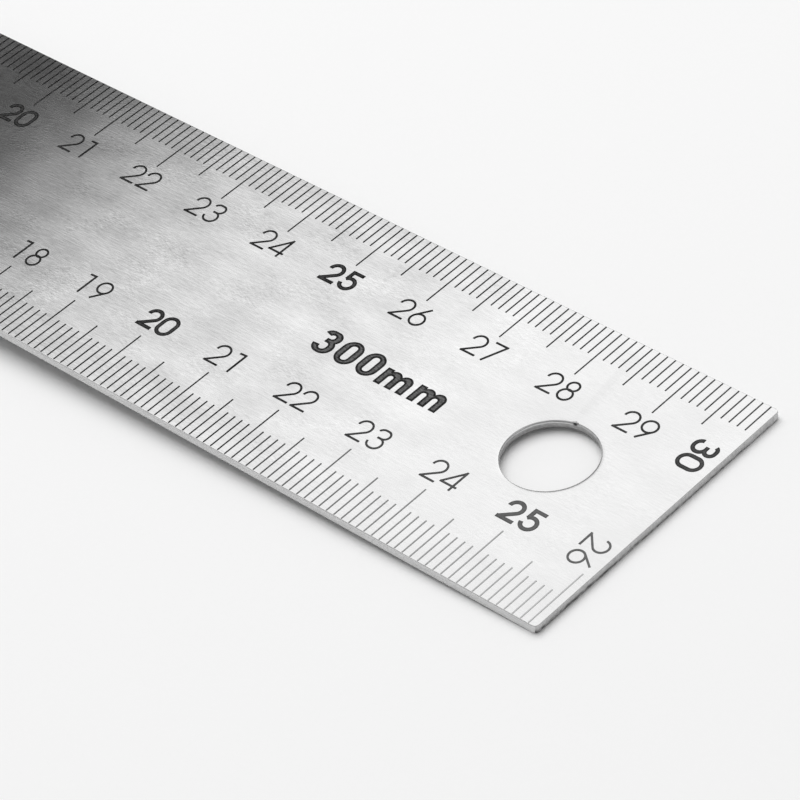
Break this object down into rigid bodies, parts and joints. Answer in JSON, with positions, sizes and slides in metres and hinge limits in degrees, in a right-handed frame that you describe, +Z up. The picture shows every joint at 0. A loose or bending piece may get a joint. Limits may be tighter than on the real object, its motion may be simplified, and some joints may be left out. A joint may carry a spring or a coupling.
{
  "type": "try square",
  "caption": "Metric try square: a thin graduated steel blade with a hanging hole, riveted at right angles into a slotted aluminium stock.",
  "frame": {"origin": "middle of the underside of the whole square", "axes": "+X along the blade from the stock to the free end, +Y along the stock towards the blade, +Z up through the graduated face"},
  "size_m": [0.3, 0.15, 0.015],
  "materials": {
    "blade_steel": "fine lengthwise brushed stainless steel, sheared ends",
    "stock_aluminium": "satin, machined along its length, broken edges",
    "rivet_steel": "heads ground flush with the stock",
    "black_fill": "black filling of the etched marks, semi-matte"
  },
  "bodies": {
    "root": {"blade": "blade_steel", "stock": "stock_aluminium", "rivet_outer_back": "rivet_steel", "rivet_outer_front": "rivet_steel", "rivet_inner_back": "rivet_steel", "rivet_inner_front": "rivet_steel", "outer_scale_lines": "black_fill", "outer_scale_numerals": "black_fill", "inner_scale_lines": "black_fill", "inner_scale_numerals": "black_fill", "size_mark": "black_fill"}
  },
  "joints": []
}
